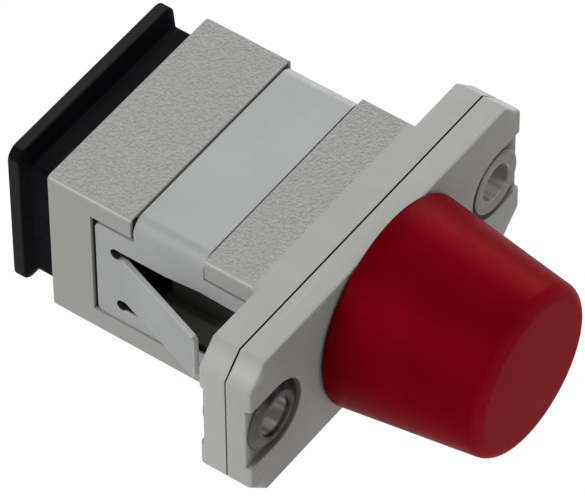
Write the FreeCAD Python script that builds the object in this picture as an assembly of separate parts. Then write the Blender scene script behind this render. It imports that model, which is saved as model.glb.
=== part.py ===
import FreeCAD, Part
import math
import os

# Panel adapter that joins a square push-pull fibre plug (rear) to a round threaded one (front).
# Millimetres. X runs along the flange, Y along the optical axis with the round side at -Y, and
# Z is up. The origin lies on the optical axis in the flange's rear face, which meets the panel.

Vec = FreeCAD.Vector
along_y = Vec(0, 1, 0)
tiny = 1e-4      # tolerance for picking edges by place
past = 1.0       # how far a cutting tool runs past the faces that it cuts

# Square port and the housing's walls around it
port_width = 9.05
port_height = 7.45
side_wall = 1.905
top_wall = 0.855
body_length = 12.2
body_edge_round = 0.25
body_end_round = 0.15
mouth_bevel = 0.2
keyway_width = 2.3
keyway_length = 5.0

# Flange: two halves that meet where the two ferrules touch
hole_spacing = 18.0
flange_end_margin = 2.0
flange_corner_x = 1.2
flange_corner_z = 1.25
rear_half_thickness = 1.6
front_half_thickness = 1.45
flange_rear_round = 0.3
flange_front_bevel = 0.2
seam_width = 0.065
seam_depth = 0.45

# Eyelets that rivet the halves together and take the panel screws
eyelet_bore_r = 1.05
eyelet_wall = 0.2
eyelet_head_lip = 0.5
eyelet_head_thickness = 0.28
eyelet_crest_lip = 0.15
eyelet_roll_lip = 0.65
eyelet_roll_height = 0.27
eyelet_roll_edge = 0.08
eyelet_rim_bevel = 0.1
eyelet_clearance = 0.03
pocket_clearance = 0.12
front_pocket_depth = 0.3
rear_pocket_depth = 0.3

# Sheet metal panel clip
sheet = 0.3
clip_bend_r = 0.8
clip_inset = 0.08
clip_seat_gap = 0.03
strap_front_y = 3.05
strap_width = 4.1
strap_side_gap = 0.1
chin_height = 1.2
arm_top_gap = 0.3
arm_bottom_gap = 0.05
arm_height = 6.2
arm_front_gap = 0.2
arm_rear_reach = 2.3
arm_rear_gap = 0.2
arm_corner_r = 0.35
root_bar = 1.2
slit_width = 0.6
lower_slit_setback = 0.27
strip_root_height = 1.25
strip_waist_height = 1.0
strip_front_height = 1.1
strip_knee_y = 5.35
strip_waist_y = 3.35
tab_height = 2.9
tab_flat_length = 0.35
tab_bend_r = 1.0
tab_angle = 19.4
tab_end_y = 2.15
tab_corner_r = 0.3
window_front_y = 0.7
window_margin = 0.15
window_corner_r = 0.4

# Ceramic alignment sleeve, split along its length
sleeve_bore_r = 1.25
sleeve_wall = 0.35
sleeve_length = 11.4
sleeve_slit = 0.4
sleeve_play = 0.15
holder_clearance = 0.05
holder_wall = 0.6
lip_thickness = 0.4
lip_overlap = 0.25

# Inner moulding of the square side: seat plate, sleeve tube and two hooks
seat_lip_x = 0.75
seat_lip_z = 0.25
seat_thickness = 1.15
seat_clearance = 0.05
hook_arm_gap = 0.3
hook_arm_thickness = 0.85
hook_arm_width = 4.6
hook_reach = 0.45
hook_length = 1.2
hook_nose = 0.35
hook_end_y = 6.6

# Round side: threaded barrel and the sleeve holder inside it
barrel_r = 4.0
barrel_wall = 0.8
barrel_reach = 6.0
barrel_bevel = 0.35
barrel_clearance = 0.03
key_slot_width = 2.14
key_slot_length = 4.0
collar_lip = 1.2
collar_thickness = 0.7
collar_cover = 0.75
holder_disc_thickness = 0.9

# Square dust cap: hollow plug, stop block and grip plate
plug_clearance = 0.1
plug_depth = 4.6
plug_wall = 0.8
plug_corner_r = 0.4
block_width = 11.5
block_height = 7.4
block_length = 1.4
block_corner_r = 0.3
block_face_gap = 0.05
hollow_past_face = 0.8
grip_slope = 0.45
grip_width = 12.4
grip_height = 9.1
grip_thickness = 0.62
grip_corner_r = 0.7
grip_edge_round = 0.1

# Round dust cap: tapered soft cup over the barrel
cup_grip_gap = 0.12
cup_mouth_gap = 0.35
cup_base_wall = 1.53
cup_tip_wall = 0.4
cup_face_gap = 0.06
cup_end_space = 1.0
cup_end_wall = 1.3
cup_base_bevel = 0.2
cup_tip_round = 0.75
cup_inner_bevel = 0.4

# Sizes and places that follow from the ones above
body_half_w = port_width / 2 + side_wall
body_half_h = port_height / 2 + top_wall
flange_half_l = hole_spacing / 2 + flange_end_margin
flange_half_h = body_half_h
mating_y = -rear_half_thickness
front_y = mating_y - front_half_thickness

eyelet_r = eyelet_bore_r + eyelet_wall
eyelet_head_r = eyelet_r + eyelet_head_lip
eyelet_crest_r = eyelet_r + eyelet_crest_lip
eyelet_roll_r = eyelet_r + eyelet_roll_lip
pocket_r = eyelet_roll_r + pocket_clearance

groove_depth = clip_inset + sheet + clip_seat_gap
clip_half_w = body_half_w - clip_inset
clip_top = body_half_h - clip_inset
strap_rear_y = strap_front_y + strap_width
arm_rear_y = strap_rear_y + arm_rear_reach
recess_rear_y = arm_rear_y + arm_rear_gap
recess_top = body_half_h - chin_height
arm_top = recess_top - arm_top_gap
arm_bottom = arm_top - arm_height
recess_bottom = arm_bottom - arm_bottom_gap
slit_end_y = arm_rear_y - root_bar
lower_slit_end_y = slit_end_y - lower_slit_setback
tab_top = arm_top - strip_root_height - slit_width
tab_bottom = tab_top - tab_height

sleeve_r = sleeve_bore_r + sleeve_wall
sleeve_rear_y = mating_y + sleeve_length / 2
sleeve_front_y = mating_y - sleeve_length / 2
holder_bore_r = sleeve_r + holder_clearance
holder_r = holder_bore_r + holder_wall
lip_r = holder_bore_r - lip_overlap
seat_rear_y = mating_y + seat_thickness

barrel_bore_r = barrel_r - barrel_wall
barrel_end_y = front_y - barrel_reach
collar_r = barrel_r + collar_lip
collar_half_h = flange_half_h - collar_cover

block_front_y = body_length + block_face_gap
block_rear_y = block_front_y + block_length
grip_front_y = block_rear_y + grip_slope
grip_rear_y = grip_front_y + grip_thickness
plug_front_y = body_length - plug_depth

cup_base_y = front_y - cup_face_gap
cup_inner_end_y = barrel_end_y - cup_end_space
cup_end_y = cup_inner_end_y - cup_end_wall
cup_bore_r = barrel_r + cup_grip_gap
cup_mouth_r = barrel_r + cup_mouth_gap
cup_base_r = barrel_r + cup_grip_gap + cup_base_wall
cup_tip_r = barrel_r + cup_grip_gap + cup_tip_wall


def slab(x0, x1, y0, y1, z0, z1):
    return Part.makeBox(x1 - x0, y1 - y0, z1 - z0, Vec(x0, y0, z0))


def rod(radius, y0, y1, x=0.0):
    return Part.makeCylinder(radius, y1 - y0, Vec(x, y0, 0), along_y)


def prism(points, direction):
    return Part.Face(Part.makePolygon(points + points[:1])).extrude(direction)


def revolve_y(outline):
    # outline holds (radius, y) pairs on one side of the optical axis
    points = [Vec(r, y, 0) for r, y in outline]
    face = Part.Face(Part.makePolygon(points + points[:1]))
    return face.revolve(Vec(0, 0, 0), along_y, 360)


def rounded_rectangle(width, height, corner_r, y):
    # wire in a plane across the optical axis, with round corners
    turn = corner_r * (1 - math.sqrt(0.5))
    half_w = width / 2
    half_h = height / 2
    edges = []
    corners = [(1, 1), (-1, 1), (-1, -1), (1, -1)]
    ends = []
    for sx, sz in corners:
        flat_x = Vec(sx * (half_w - corner_r), y, sz * half_h)
        flat_z = Vec(sx * half_w, y, sz * (half_h - corner_r))
        middle = Vec(sx * (half_w - turn), y, sz * (half_h - turn))
        first, last = (flat_z, flat_x) if sx * sz > 0 else (flat_x, flat_z)
        ends.append((first, middle, last))
    for index, (first, middle, last) in enumerate(ends):
        edges.append(Part.Arc(first, middle, last).toShape())
        edges.append(Part.makeLine(last, ends[(index + 1) % len(ends)][0]))
    return Part.Wire(edges)


def rounded_block(width, height, corner_r, y0, y1):
    face = Part.Face(rounded_rectangle(width, height, corner_r, y0))
    return face.extrude(Vec(0, y1 - y0, 0))


def edges_at_y(shape, y):
    return [e for e in shape.Edges if all(abs(v.Y - y) < tiny for v in e.Vertexes)]


def circles_at(shape, radius, y):
    found = []
    for edge in shape.Edges:
        if isinstance(edge.Curve, Part.Circle) and abs(edge.Curve.Radius - radius) < tiny:
            if abs(edge.Curve.Center.y - y) < tiny:
                found.append(edge)
    return found


def mirrored_in_x(shape):
    return shape.mirror(Vec(0, 0, 0), Vec(1, 0, 0))


def flange_outline(y, inset=0.0):
    half_l = flange_half_l - inset
    half_h = flange_half_h - inset
    corner_x = half_l - flange_corner_x
    corner_z = half_h - flange_corner_z
    quarter = [(half_l, corner_z), (corner_x, half_h)]
    outline = quarter + [(-x, z) for x, z in reversed(quarter)]
    outline += [(-x, -z) for x, z in outline]
    return [Vec(x, y, z) for x, z in outline]


def seam_relief(y0, y1):
    # shallow step round the flange's rim, which shows as the line between the two halves
    rim = prism(flange_outline(y0), Vec(0, y1 - y0, 0))
    return rim.cut(prism(flange_outline(y0, seam_depth), Vec(0, y1 - y0, 0)))


def port_outline(grow, y):
    half_w = port_width / 2 + grow
    half_h = port_height / 2 + grow
    corners = [(half_w, half_h), (-half_w, half_h), (-half_w, -half_h), (half_w, -half_h)]
    points = [Vec(x, y, z) for x, z in corners]
    return Part.makePolygon(points + points[:1])


def eyelet_pockets(y0, y1):
    # one pocket round each hole, open towards its end of the flange
    pockets = []
    for side in (1, -1):
        hole_x = side * hole_spacing / 2
        end_x = side * (flange_half_l + past)
        low_x, high_x = sorted((hole_x, end_x))
        slot = slab(low_x, high_x, y0, y1, -pocket_r, pocket_r)
        pockets.append(rod(pocket_r, y0, y1, hole_x).fuse(slot))
    return pockets


def eyelet_holes(y0, y1):
    radius = eyelet_r + eyelet_clearance
    return [rod(radius, y0, y1, side * hole_spacing / 2) for side in (1, -1)]


def clip_section(grow, y0, y1):
    # the clip's inner or outer face as a solid: a block with rounded upper edges
    half_w = clip_half_w + grow
    top = clip_top + grow
    block = slab(-half_w, half_w, y0, y1, -body_half_h - past, top)
    upper = []
    for edge in block.Edges:
        if all(abs(v.Z - top) < tiny for v in edge.Vertexes):
            if abs(edge.Vertexes[0].Y - edge.Vertexes[1].Y) > tiny:
                upper.append(edge)
    return block.makeFillet(clip_bend_r + grow, upper)


def strap_groove():
    y0 = strap_front_y - strap_side_gap
    y1 = strap_rear_y + strap_side_gap
    wide = body_half_w + past
    band = slab(-wide, wide, y0, y1, recess_top - tiny, body_half_h + past)
    return band.cut(clip_section(-sheet - clip_seat_gap, y0 - past, y1 + past))


def side_window():
    y1 = slit_end_y + slit_width
    z0 = tab_bottom - slit_width - window_margin
    z1 = arm_top - strip_waist_height + window_margin
    wide = body_half_w + past
    window = slab(-wide, wide, window_front_y, y1, z0, z1)
    across = [e for e in window.Edges if abs(e.Vertexes[0].X - e.Vertexes[1].X) > tiny]
    return window.makeFillet(window_corner_r, across)


def make_rear_housing():
    flange = prism(flange_outline(mating_y), Vec(0, -mating_y, 0))
    flange = flange.makeFillet(flange_rear_round, edges_at_y(flange, 0))
    body = rounded_block(2 * body_half_w, 2 * body_half_h, body_edge_round, mating_y / 2, body_length)
    body = body.makeFillet(body_end_round, edges_at_y(body, body_length))
    half_w = port_width / 2
    half_h = port_height / 2
    seat_y = seat_rear_y + seat_clearance
    recess_x = body_half_w - groove_depth
    keyway_y = body_length - keyway_length
    mouth = Part.makeLoft([port_outline(0, body_length - mouth_bevel),
                           port_outline(mouth_bevel, body_length)], True)
    recess = slab(recess_x, body_half_w + past, 0, recess_rear_y, recess_bottom, recess_top)
    tools = [
        slab(-half_w, half_w, mating_y - past, body_length + past, -half_h, half_h),
        mouth,
        slab(-half_w - seat_lip_x, half_w + seat_lip_x, mating_y - past, seat_y,
             -half_h - seat_lip_z, half_h + seat_lip_z),
        slab(-keyway_width / 2, keyway_width / 2, keyway_y, body_length + past,
             -body_half_h - past, 0),
        strap_groove(),
        recess,
        mirrored_in_x(recess),
        side_window(),
        seam_relief(mating_y - past, mating_y + seam_width / 2),
    ]
    tools += eyelet_pockets(-rear_pocket_depth, past)
    tools += eyelet_holes(mating_y - past, past)
    return flange.fuse(body).cut(tools).removeSplitter()


def make_front_flange():
    plate = prism(flange_outline(front_y), Vec(0, front_half_thickness, 0))
    plate = plate.makeChamfer(flange_front_bevel, edges_at_y(plate, front_y))
    rim = seam_relief(mating_y - seam_width / 2, mating_y + past)
    half_h = collar_half_h + barrel_clearance
    collar_y = mating_y - collar_thickness - seat_clearance
    collar_seat = rod(collar_r + barrel_clearance, collar_y, mating_y + past)
    wide = collar_r + past
    collar_seat = collar_seat.common(slab(-wide, wide, collar_y, mating_y + past, -half_h, half_h))
    tools = [rim, collar_seat, rod(barrel_r + barrel_clearance, front_y - past, mating_y + past)]
    tools += eyelet_pockets(front_y - past, front_y + front_pocket_depth)
    tools += eyelet_holes(front_y - past, mating_y + past)
    return plate.cut(tools).removeSplitter()


def make_flange_eyelets():
    # a flat head on one side and a rim rolled over and down on the other; the two face opposite ways
    rear_seat = -rear_pocket_depth
    front_seat = front_y + front_pocket_depth
    head_end = front_seat - eyelet_head_thickness
    roll_end = rear_seat + eyelet_roll_height
    outline = [
        (eyelet_bore_r, head_end), (eyelet_head_r, head_end), (eyelet_head_r, front_seat),
        (eyelet_r, front_seat), (eyelet_r, rear_seat), (eyelet_roll_r, rear_seat),
        (eyelet_roll_r, rear_seat + eyelet_roll_edge), (eyelet_crest_r, roll_end), (eyelet_bore_r, roll_end),
    ]
    eyelet = revolve_y(outline)
    rims = circles_at(eyelet, eyelet_bore_r, head_end) + circles_at(eyelet, eyelet_head_r, head_end)
    eyelet = eyelet.makeChamfer(eyelet_rim_bevel, rims + circles_at(eyelet, eyelet_bore_r, roll_end))
    turned = eyelet.copy()
    turned.rotate(Vec(0, (front_seat + rear_seat) / 2, 0), Vec(0, 0, 1), 180)
    eyelet.translate(Vec(hole_spacing / 2, 0, 0))
    turned.translate(Vec(-hole_spacing / 2, 0, 0))
    return Part.makeCompound([eyelet, turned])


def edges_through_sheet(plate, y):
    # the short edges across the sheet's thickness at the end of a plate nearest to y
    short = [e for e in plate.Edges if abs(e.Length - sheet) < tiny]
    nearest = min(abs(e.CenterOfMass.y - y) for e in short)
    return [e for e in short if abs(e.CenterOfMass.y - y) < nearest + tiny]


def clip_tab():
    # spring tab on the +X arm: flat at its root, then bent outwards, its free end by the flange
    turn = math.radians(tab_angle)
    bend_y = slit_end_y - tab_flat_length
    run = bend_y - tab_bend_r * math.sin(turn) - tab_end_y

    def face_at(offset):
        # one face of the sheet, offset outwards from the inner one
        start = Vec(clip_half_w - sheet + offset, slit_end_y + tiny, tab_bottom)
        bend = Vec(start.x, bend_y, tab_bottom)
        radius = tab_bend_r - offset
        centre = Vec(start.x + radius, bend_y, tab_bottom)
        half = centre + Vec(-math.cos(turn / 2), -math.sin(turn / 2), 0) * radius
        leave = centre + Vec(-math.cos(turn), -math.sin(turn), 0) * radius
        end = leave + Vec(math.sin(turn), -math.cos(turn), 0) * (run / math.cos(turn))
        return start, bend, half, leave, end

    inner = face_at(0)
    outer = face_at(sheet)
    edges = []
    for start, bend, half, leave, end in (inner, outer):
        edges.append(Part.makeLine(start, bend))
        edges.append(Part.Arc(bend, half, leave).toShape())
        edges.append(Part.makeLine(leave, end))
    edges.append(Part.makeLine(inner[0], outer[0]))
    edges.append(Part.makeLine(inner[-1], outer[-1]))
    outline = Part.Wire(Part.__sortEdges__(edges))
    tab = Part.Face(outline).extrude(Vec(0, 0, tab_height))
    return tab.makeFillet(tab_corner_r, edges_through_sheet(tab, tab_end_y))


def make_panel_clip():
    arm_x = clip_half_w - sheet
    low_z = tab_bottom - slit_width
    strap = clip_section(0, strap_front_y, strap_rear_y)
    strap = strap.cut(clip_section(-sheet, strap_front_y - past, strap_rear_y + past))
    wide = clip_half_w + past
    strap = strap.common(slab(-wide, wide, strap_front_y, strap_rear_y, arm_top - sheet, clip_top))
    plate = slab(arm_x, clip_half_w, arm_front_gap, arm_rear_y, arm_bottom, arm_top)
    plate = plate.makeFillet(arm_corner_r, edges_through_sheet(plate, arm_rear_y))
    tool_x = arm_x - past
    strip_root_z = arm_top - strip_root_height
    strip_front_z = arm_top - strip_front_height
    opening = [
        (slit_end_y, strip_root_z), (strip_knee_y, strip_root_z),
        (strip_waist_y, arm_top - strip_waist_height), (arm_front_gap, strip_front_z),
        (arm_front_gap - past, strip_front_z), (arm_front_gap - past, low_z),
        (lower_slit_end_y, low_z), (lower_slit_end_y, tab_bottom), (slit_end_y, tab_bottom),
    ]
    through = Vec(sheet + 2 * past, 0, 0)
    tools = [prism([Vec(tool_x, y, z) for y, z in opening], through)]
    slit_ends = [(slit_end_y, tab_top + slit_width / 2), (lower_slit_end_y, tab_bottom - slit_width / 2)]
    for y, z in slit_ends:
        tools.append(Part.makeCylinder(slit_width / 2, through.x, Vec(tool_x, y, z), Vec(1, 0, 0)))
    arm = plate.cut(tools).fuse(clip_tab())
    return strap.fuse([arm, mirrored_in_x(arm)]).removeSplitter()


def make_latch_insert():
    half_w = port_width / 2 + seat_lip_x - seat_clearance
    half_h = port_height / 2 + seat_lip_z - seat_clearance
    tube_end_y = sleeve_rear_y + sleeve_play + lip_thickness
    seat = slab(-half_w, half_w, mating_y, seat_rear_y, -half_h, half_h)
    outer_x = port_width / 2 - hook_arm_gap
    inner_x = outer_x - hook_arm_thickness
    low_z = -hook_arm_width / 2
    profile = [
        (outer_x, mating_y), (outer_x, hook_end_y), (outer_x - hook_nose, hook_end_y),
        (inner_x - hook_reach, hook_end_y - hook_length + hook_nose),
        (inner_x, hook_end_y - hook_length), (inner_x, mating_y),
    ]
    arm = prism([Vec(x, y, low_z) for x, y in profile], Vec(0, 0, hook_arm_width))
    solid = seat.fuse([rod(holder_r, mating_y, tube_end_y), arm, mirrored_in_x(arm)])
    bore_end_y = tube_end_y - lip_thickness
    solid = solid.cut([rod(holder_bore_r, mating_y - past, bore_end_y),
                       rod(lip_r, bore_end_y - tiny, tube_end_y + past)])
    return solid.removeSplitter()


def make_sleeve_holder():
    tube_end_y = sleeve_front_y - sleeve_play - lip_thickness
    bore_end_y = tube_end_y + lip_thickness
    disc_r = barrel_bore_r - barrel_clearance
    solid = rod(holder_r, tube_end_y, mating_y)
    solid = solid.fuse(rod(disc_r, mating_y - holder_disc_thickness, mating_y))
    solid = solid.cut([rod(holder_bore_r, bore_end_y, mating_y + past),
                       rod(lip_r, tube_end_y - past, bore_end_y + tiny)])
    return solid.removeSplitter()


def make_split_sleeve():
    tube = rod(sleeve_r, sleeve_front_y, sleeve_rear_y)
    tube = tube.cut(rod(sleeve_bore_r, sleeve_front_y - past, sleeve_rear_y + past))
    half_slit = sleeve_slit / 2
    return tube.cut(slab(-half_slit, half_slit, sleeve_front_y - past, sleeve_rear_y + past,
                         0, sleeve_r + past))


def make_threaded_barrel():
    collar_y = mating_y - collar_thickness
    wide = collar_r + past
    collar = rod(collar_r, collar_y, mating_y)
    collar = collar.common(slab(-wide, wide, collar_y, mating_y, -collar_half_h, collar_half_h))
    tube = rod(barrel_r, barrel_end_y, mating_y)
    tube = tube.makeChamfer(barrel_bevel, circles_at(tube, barrel_r, barrel_end_y))
    half_slot = key_slot_width / 2
    slot = slab(-half_slot, half_slot, barrel_end_y - past, barrel_end_y + key_slot_length,
                0, barrel_r + past)
    bore = rod(barrel_bore_r, barrel_end_y - past, mating_y + past)
    return tube.fuse(collar).cut([bore, slot]).removeSplitter()


def make_square_dust_cap():
    plug_w = port_width - 2 * plug_clearance
    plug_h = port_height - 2 * plug_clearance
    plug = rounded_block(plug_w, plug_h, plug_corner_r, plug_front_y, block_front_y)
    block = rounded_block(block_width, block_height, block_corner_r, block_front_y, block_rear_y)
    slope = Part.makeLoft([rounded_rectangle(block_width, block_height, block_corner_r, block_rear_y),
                           rounded_rectangle(grip_width, grip_height, grip_corner_r, grip_front_y)], True)
    grip = rounded_block(grip_width, grip_height, grip_corner_r, grip_front_y, grip_rear_y)
    grip = grip.makeFillet(grip_edge_round, edges_at_y(grip, grip_rear_y))
    hollow = rounded_block(plug_w - 2 * plug_wall, plug_h - 2 * plug_wall, plug_corner_r,
                           plug_front_y - past, block_front_y + hollow_past_face)
    return plug.fuse([block, slope, grip]).cut(hollow).removeSplitter()


def make_round_dust_cap():
    outline = [
        (cup_mouth_r, cup_base_y), (cup_base_r, cup_base_y), (cup_tip_r, cup_end_y),
        (0, cup_end_y), (0, cup_inner_end_y), (cup_bore_r, cup_inner_end_y),
    ]
    cup = revolve_y(outline)
    cup = cup.makeChamfer(cup_base_bevel, circles_at(cup, cup_base_r, cup_base_y))
    cup = cup.makeChamfer(cup_inner_bevel, circles_at(cup, cup_bore_r, cup_inner_end_y))
    return cup.makeFillet(cup_tip_round, circles_at(cup, cup_tip_r, cup_end_y))


pieces = {
    "rear_housing": make_rear_housing,
    "front_flange": make_front_flange,
    "flange_eyelets": make_flange_eyelets,
    "panel_clip": make_panel_clip,
    "latch_insert": make_latch_insert,
    "split_sleeve": make_split_sleeve,
    "sleeve_holder": make_sleeve_holder,
    "threaded_barrel": make_threaded_barrel,
    "square_dust_cap": make_square_dust_cap,
    "round_dust_cap": make_round_dust_cap,
}

os.makedirs("parts", exist_ok=True)
for name, make in pieces.items():
    shape = make()
    box = shape.BoundBox
    print(f"{name}: valid {shape.isValid()}, solids {len(shape.Solids)}, volume {shape.Volume:.3f},"
          f" x {box.XMin:.2f} {box.XMax:.2f}, y {box.YMin:.2f} {box.YMax:.2f},"
          f" z {box.ZMin:.2f} {box.ZMax:.2f}")
    shape.exportStep(f"parts/{name}.step")
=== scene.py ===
import bpy
import bmesh
import math
from mathutils import Matrix, Vector


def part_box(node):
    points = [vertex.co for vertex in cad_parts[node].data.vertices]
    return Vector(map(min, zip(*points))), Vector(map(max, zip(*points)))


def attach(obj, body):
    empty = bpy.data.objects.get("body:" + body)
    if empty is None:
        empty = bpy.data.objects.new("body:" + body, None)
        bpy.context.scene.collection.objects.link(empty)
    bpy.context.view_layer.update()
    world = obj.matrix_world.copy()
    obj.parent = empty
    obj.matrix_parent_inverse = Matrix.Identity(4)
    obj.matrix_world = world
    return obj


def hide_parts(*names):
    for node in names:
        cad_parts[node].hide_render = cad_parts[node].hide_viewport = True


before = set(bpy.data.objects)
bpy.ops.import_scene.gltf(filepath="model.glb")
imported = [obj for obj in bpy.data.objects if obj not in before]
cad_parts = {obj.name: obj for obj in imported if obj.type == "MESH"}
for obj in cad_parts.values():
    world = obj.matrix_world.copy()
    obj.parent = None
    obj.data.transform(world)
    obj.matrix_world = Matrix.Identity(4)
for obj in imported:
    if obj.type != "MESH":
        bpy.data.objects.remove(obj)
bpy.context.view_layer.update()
mm = 0.001   # pieces are drawn in millimetres and brought to metres when they are finished
xAxis, yAxis, zAxis = 0, 1, 2
past = 1   # cutting tools reach this far beyond the piece
near = 0.01   # places closer than this are one place
touch = 0.0001   # corners closer than this lie on one line or plane
weld, joinWeld = 0.0005, 0.001   # corners closer than this are merged, the wider for joined halves and turns
facing = 0.9   # share of a normal from which a face looks along an axis
print("frame loaded,", len(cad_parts), "nodes")


# tools of the bench

def closeUp():
    if bpy.context.mode != "OBJECT":
        bpy.ops.object.mode_set(mode="OBJECT")


def deselectAll():
    closeUp()
    bpy.ops.object.select_all(action="DESELECT")


def takeUp(piece):
    deselectAll()
    piece.select_set(True)
    bpy.context.view_layer.objects.active = piece


def openUp(piece):
    # into edit mode with everything selected
    takeUp(piece)
    bpy.ops.object.mode_set(mode="EDIT")
    bpy.ops.mesh.select_all(action="SELECT")


def applyMove():
    bpy.ops.object.transform_apply(location=True, rotation=True, scale=True)


def applyModifier(piece, kind, **settings):
    takeUp(piece)
    step = piece.modifiers.new(kind, kind)
    for setting, value in settings.items():
        setattr(step, setting, value)
    bpy.ops.object.modifier_apply(modifier=step.name)


def faceOut():
    bpy.ops.mesh.select_all(action="SELECT")
    bpy.ops.mesh.normals_make_consistent(inside=False)


def cadCorners(node):
    low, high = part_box(node)
    return low / mm, high / mm


def lastMade(name):
    made = bpy.context.active_object
    made.name = name
    return made


def addBlock(name, low, high):
    deselectAll()
    bpy.ops.mesh.primitive_cube_add(size=1, location=(Vector(low) + Vector(high)) / 2)
    block = lastMade(name)
    block.scale = Vector(high) - Vector(low)
    applyMove()
    return block


def addBar(name, halfW, halfH, y0, y1):
    return addBlock(name, (-halfW, y0, -halfH), (halfW, y1, halfH))


def addRod(name, radius, y0, y1, x=0, steps=96):
    deselectAll()
    bpy.ops.mesh.primitive_cylinder_add(vertices=steps, radius=radius, depth=y1 - y0,
                                        location=(x, (y0 + y1) / 2, 0), rotation=(math.pi / 2, 0, 0))
    rod = lastMade(name)
    applyMove()
    return rod


def drawOutline(name, points, filled):
    deselectAll()
    fill = "NGON" if filled else "NOTHING"
    bpy.ops.mesh.primitive_circle_add(vertices=len(points), fill_type=fill)   # a ring, pulled to the outline
    piece = lastMade(name)
    for corner, point in zip(piece.data.vertices, points):
        corner.co = point
    return piece


def pushOut(piece, way):
    openUp(piece)
    bpy.ops.mesh.extrude_region_move(TRANSFORM_OT_translate={"value": way})
    faceOut()
    closeUp()


def arcAbout(centre, first, last, steps):
    radius = (first - centre).length
    start, end = (first - centre).normalized(), (last - centre).normalized()
    return [centre + radius * start.slerp(end, step / steps) for step in range(steps + 1)]


def roundOff(corners, steps):
    # corners are (x, y, radius of the rounding); gives the outline's points
    points = []
    for index, (x, y, radius) in enumerate(corners):
        here = Vector((x, y))
        if radius == 0:
            points.append(here)
            continue
        back = (Vector(corners[index - 1][:2]) - here).normalized()
        ahead = (Vector(corners[(index + 1) % len(corners)][:2]) - here).normalized()
        half = back.angle(ahead) / 2
        centre = here + (back + ahead).normalized() * (radius / math.sin(half))
        reach = radius / math.tan(half)
        points += arcAbout(centre, here + back * reach, here + ahead * reach, steps)
    return points


def turnOnAxis(name, corners, steps, arcSteps):
    # corners are (radius, y, rounding), spun about the optical axis
    points = [(radius, y, 0) for radius, y in roundOff(corners, arcSteps)]
    piece = drawOutline(name, points, False)
    openUp(piece)
    bpy.ops.mesh.spin(steps=steps, angle=2 * math.pi, center=(0, 0, 0), axis=(0, 1, 0))
    bpy.ops.mesh.select_all(action="SELECT")
    bpy.ops.mesh.remove_doubles(threshold=weld)
    bpy.ops.mesh.delete_loose()
    faceOut()
    closeUp()
    return piece


def combine(piece, tool, operation):
    applyModifier(piece, "BOOLEAN", operation=operation, solver="EXACT", object=tool)
    bpy.data.objects.remove(tool, do_unlink=True)


def cutAway(piece, tool):
    combine(piece, tool, "DIFFERENCE")


def pickParts(piece, kind, chosen):
    # leaves the piece in edit mode with the chosen edges or faces selected
    openUp(piece)
    bpy.ops.mesh.select_mode(type=kind)
    bpy.ops.mesh.select_all(action="DESELECT")
    shape = bmesh.from_edit_mesh(piece.data)
    for part in shape.edges if kind == "EDGE" else shape.faces:
        part.select_set(chosen(part))
    bmesh.update_edit_mesh(piece.data)


def pickEdges(piece, chosen):
    pickParts(piece, "EDGE", lambda edge: chosen(edge.verts[0].co, edge.verts[1].co))


def pickFaces(piece, chosen):
    pickParts(piece, "FACE", chosen)


def bevelEdges(piece, chosen, width, steps):
    pickEdges(piece, chosen)
    bpy.ops.mesh.bevel(offset=width, segments=steps, affect="EDGES")
    closeUp()


def foldOn(piece, chosen, path, corner=0, steps=6):
    # draws a sheet on from the chosen edge along the path, its last corners rounded
    pickEdges(piece, chosen)
    for here, there in zip(path, path[1:]):
        bpy.ops.mesh.extrude_edges_move(TRANSFORM_OT_translate={"value": there - here})
    if corner:
        bpy.ops.mesh.bevel(offset=corner, segments=steps, affect="VERTICES")
    closeUp()


def alongAxis(axis):
    others = [other for other in range(3) if other != axis]
    return lambda a, b: all(abs(a[other] - b[other]) < touch for other in others)


def onPlane(axis, place):
    return lambda a, b: abs(a[axis] - place) < touch and abs(b[axis] - place) < touch


def dissolveFlat(piece, within=0.5):
    openUp(piece)
    bpy.ops.mesh.remove_doubles(threshold=weld)
    bpy.ops.mesh.dissolve_limited(angle_limit=math.radians(within))
    closeUp()


def mirrorHalf(piece):
    applyModifier(piece, "MIRROR", use_axis=(True, False, False), merge_threshold=joinWeld)


def softenEdges(piece, width, steps=2, fromAngle=38):
    applyModifier(piece, "BEVEL", width=width, segments=steps, limit_method="ANGLE",
                  angle_limit=math.radians(fromAngle), use_clamp_overlap=False)


def finishPiece(piece, node, body, material, smoothTo=40):
    takeUp(piece)
    piece.scale = (mm, mm, mm)
    applyMove()
    bpy.ops.object.shade_smooth_by_angle(angle=math.radians(smoothTo))
    applyModifier(piece, "WEIGHTED_NORMAL", keep_sharp=True)
    piece.data.materials.clear()
    piece.data.materials.append(material)
    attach(piece, body)
    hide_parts(node)
    print(piece.name, len(piece.data.polygons), "faces")


# finishes: patterns sit on Object coordinates, in metres

def newMaterial(name):
    material = bpy.data.materials.new(name)
    material.use_nodes = True
    return material, material.node_tree, material.node_tree.nodes["Principled BSDF"]


def addNode(tree, kind, inputs=None, **settings):
    node = tree.nodes.new(kind)
    for setting, value in settings.items():
        setattr(node, setting, value)
    for socket, value in (inputs or {}).items():
        if isinstance(value, bpy.types.NodeSocket):
            tree.links.new(value, node.inputs[socket])
        else:
            node.inputs[socket].default_value = value
    return node


def joinUp(tree, *pairs):
    for output, target in pairs:
        tree.links.new(output, target)


def sums(tree, operation, first, second=0.0):
    return addNode(tree, "ShaderNodeMath", {0: first, 1: second}, operation=operation).outputs[0]


def fade(tree, value, low, high, start=0.0, end=1.0):
    # value's way from low to high, eased, as start to end
    return addNode(tree, "ShaderNodeMapRange", {0: value, 1: low, 2: high, 3: start, 4: end},
                   interpolation_type="SMOOTHSTEP").outputs[0]


def allOf(tree, *masks):
    whole = masks[0]
    for mask in masks[1:]:
        whole = sums(tree, "MULTIPLY", whole, mask)
    return whole


def nearTo(tree, value, middle, full, none):
    # 1 up to full away from the middle, 0 from none on
    away = sums(tree, "ABSOLUTE", sums(tree, "SUBTRACT", value, middle))
    return fade(tree, away, full, none, 1.0, 0.0)


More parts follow.
